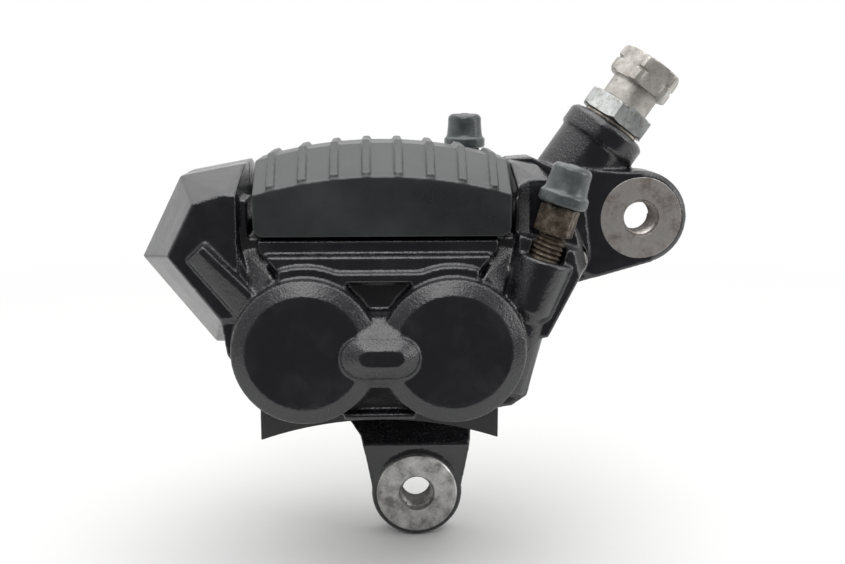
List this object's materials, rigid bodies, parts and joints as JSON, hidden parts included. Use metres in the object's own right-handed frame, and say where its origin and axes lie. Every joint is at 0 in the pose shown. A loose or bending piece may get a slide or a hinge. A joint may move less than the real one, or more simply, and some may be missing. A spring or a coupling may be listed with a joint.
{
  "type": "motorcycle brake caliper",
  "caption": "Opposed-piston motorcycle brake caliper in two bolted halves, with side lugs, sliding pads, ribbed pad cover, bleed screws and a hose fitting.",
  "frame": {"origin": "centre of the lower mounting hole, halfway through its lug", "axes": "+X along the disc's travel past the caliper, +Y across the disc from the outer half to the inner half, +Z away from the wheel hub"},
  "size_m": [0.154, 0.0952, 0.1468],
  "materials": {
    "black_casting": "gloss black paint over sand-cast aluminium, bare machined lug faces",
    "bolt_steel": "dull zinc-plated",
    "seal_rubber": "matte",
    "piston_chrome": "hard anodised, polished",
    "pad_steel": "matte black",
    "friction_material": "pressed, granular",
    "pin_steel": "dull",
    "spring_steel": "bright",
    "cover_plastic": "satin moulded",
    "rusty_steel": "rusted thread",
    "cap_rubber": "satin",
    "zinc_plate": "zinc-plated",
    "washer_metal": "dull",
    "dull_steel": "stained plating"
  },
  "bodies": {
    "caliper": {"outer_body": "black_casting", "inner_body": "black_casting", "body_bolts": "bolt_steel", "crossover_seal": "seal_rubber", "outer_fluid_seals": "seal_rubber", "inner_fluid_seals": "seal_rubber", "outer_dust_seals": "seal_rubber", "inner_dust_seals": "seal_rubber", "left_pad_pin": "pin_steel", "right_pad_pin": "pin_steel", "left_pin_clip": "spring_steel", "right_pin_clip": "spring_steel", "pad_spring": "spring_steel", "inlet_adapter": "zinc_plate", "inlet_washer": "washer_metal"},
    "outer_left_piston": {"outer_left_piston": "piston_chrome"},
    "outer_right_piston": {"outer_right_piston": "piston_chrome"},
    "inner_left_piston": {"inner_left_piston": "piston_chrome"},
    "inner_right_piston": {"inner_right_piston": "piston_chrome"},
    "outer_pad": {"outer_backing_plate": "pad_steel", "outer_friction": "friction_material"},
    "inner_pad": {"inner_backing_plate": "pad_steel", "inner_friction": "friction_material"},
    "pad_cover": {"pad_cover": "cover_plastic"},
    "outer_bleed_screw": {"outer_bleed_screw": "rusty_steel"},
    "outer_bleed_cap": {"outer_bleed_cap": "cap_rubber"},
    "inner_bleed_screw": {"inner_bleed_screw": "rusty_steel"},
    "inner_bleed_cap": {"inner_bleed_cap": "cap_rubber"},
    "union_nut": {"union_nut": "dull_steel"}
  },
  "joints": [
    {"name": "outer_pad_slide", "type": "slide", "parent": "caliper", "child": "outer_pad", "axis": [0, 1, 0], "range_m": [0, 0.003]},
    {"name": "inner_pad_slide", "type": "slide", "parent": "caliper", "child": "inner_pad", "axis": [0, -1, 0], "range_m": [0, 0.003]},
    {"name": "outer_left_piston_slide", "type": "slide", "parent": "caliper", "child": "outer_left_piston", "axis": [0, 1, 0], "range_m": [0, 0.003]},
    {"name": "outer_right_piston_slide", "type": "slide", "parent": "caliper", "child": "outer_right_piston", "axis": [0, 1, 0], "range_m": [0, 0.003]},
    {"name": "inner_left_piston_slide", "type": "slide", "parent": "caliper", "child": "inner_left_piston", "axis": [0, -1, 0], "range_m": [0, 0.003]},
    {"name": "inner_right_piston_slide", "type": "slide", "parent": "caliper", "child": "inner_right_piston", "axis": [0, -1, 0], "range_m": [0, 0.003]},
    {"name": "pad_cover_lift", "type": "slide", "parent": "caliper", "child": "pad_cover", "axis": [0, 0, 1], "range_m": [0, 0.035]},
    {"name": "outer_bleed_turn", "type": "hinge", "parent": "caliper", "child": "outer_bleed_screw", "pos_m": [0.032, -0.04, 0.0772], "axis": [0.284, 0, 0.9588], "range_deg": [0, 180]},
    {"name": "outer_bleed_cap_pull", "type": "slide", "parent": "outer_bleed_screw", "child": "outer_bleed_cap", "axis": [0.284, 0, 0.9588], "range_m": [0, 0.016]},
    {"name": "inner_bleed_turn", "type": "hinge", "parent": "caliper", "child": "inner_bleed_screw", "pos_m": [0.0167, 0.034, 0.0885], "axis": [0, 0, 1], "range_deg": [0, 180]},
    {"name": "inner_bleed_cap_pull", "type": "slide", "parent": "inner_bleed_screw", "child": "inner_bleed_cap", "axis": [0, 0, 1], "range_m": [0, 0.016]},
    {"name": "union_nut_turn", "type": "hinge", "parent": "caliper", "child": "union_nut", "pos_m": [0.0554, 0.006, 0.1065], "axis": [0.5736, 0, 0.8192], "continuous": true}
  ],
  "couplings": [
    {"joint": "inner_pad_slide", "follows": "outer_pad_slide", "ratio": 1},
    {"joint": "outer_left_piston_slide", "follows": "outer_pad_slide", "ratio": 1},
    {"joint": "outer_right_piston_slide", "follows": "outer_pad_slide", "ratio": 1},
    {"joint": "inner_left_piston_slide", "follows": "outer_pad_slide", "ratio": 1},
    {"joint": "inner_right_piston_slide", "follows": "outer_pad_slide", "ratio": 1}
  ]
}
